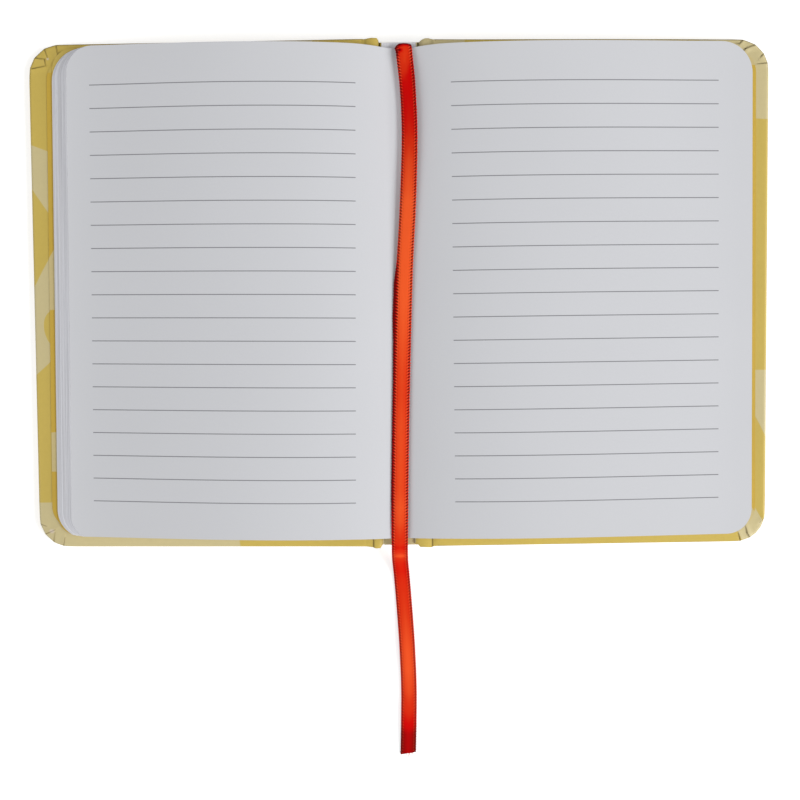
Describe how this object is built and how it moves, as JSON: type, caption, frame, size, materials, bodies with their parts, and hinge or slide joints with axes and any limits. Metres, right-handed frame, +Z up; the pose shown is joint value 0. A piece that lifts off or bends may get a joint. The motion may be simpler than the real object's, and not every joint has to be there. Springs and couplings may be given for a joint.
{
  "type": "hardcover notebook",
  "caption": "Open case-bound notebook with rounded corners, ruled pages arching from the gutter, hinged covers and a ribbon marker.",
  "frame": {"origin": "on the table, under the middle of the spine, halfway from head to tail", "axes": "+X towards the right-hand (back) cover's fore edge, +Y towards the head of the pages, +Z up from the table"},
  "size_m": [0.258, 0.2527, 0.0139],
  "materials": {
    "board": "plain grey-brown board, hidden under the cover paper",
    "cover_paper": "printed cover paper, olive yellow and tan, slightly glossy",
    "endpaper": "plain ochre paper, matte",
    "pages": "off-white writing paper with fine grey rules, matte",
    "lining": "thin pale lining gauze and glue",
    "ribbon": "orange-red satin ribbon with picot edges"
  },
  "bodies": {
    "spine": {"spine_cover_paper": "cover_paper", "spine_board": "board", "spine_lining": "lining", "page_block": "pages", "ribbon_marker": "ribbon"},
    "front_cover": {"front_cover_paper": "cover_paper", "front_board": "board", "front_endpaper": "endpaper"},
    "back_cover": {"back_cover_paper": "cover_paper", "back_board": "board", "back_endpaper": "endpaper"}
  },
  "joints": [
    {"name": "front_cover_hinge", "type": "hinge", "parent": "spine", "child": "front_cover", "pos_m": [-0.007, 0, 0.0055], "axis": [0, 1, 0], "range_deg": [0, 92], "deforming": ["page_block"]},
    {"name": "back_cover_hinge", "type": "hinge", "parent": "spine", "child": "back_cover", "pos_m": [0.007, 0, 0.0055], "axis": [0, -1, 0], "range_deg": [0, 92], "deforming": ["page_block", "ribbon_marker"]}
  ]
}
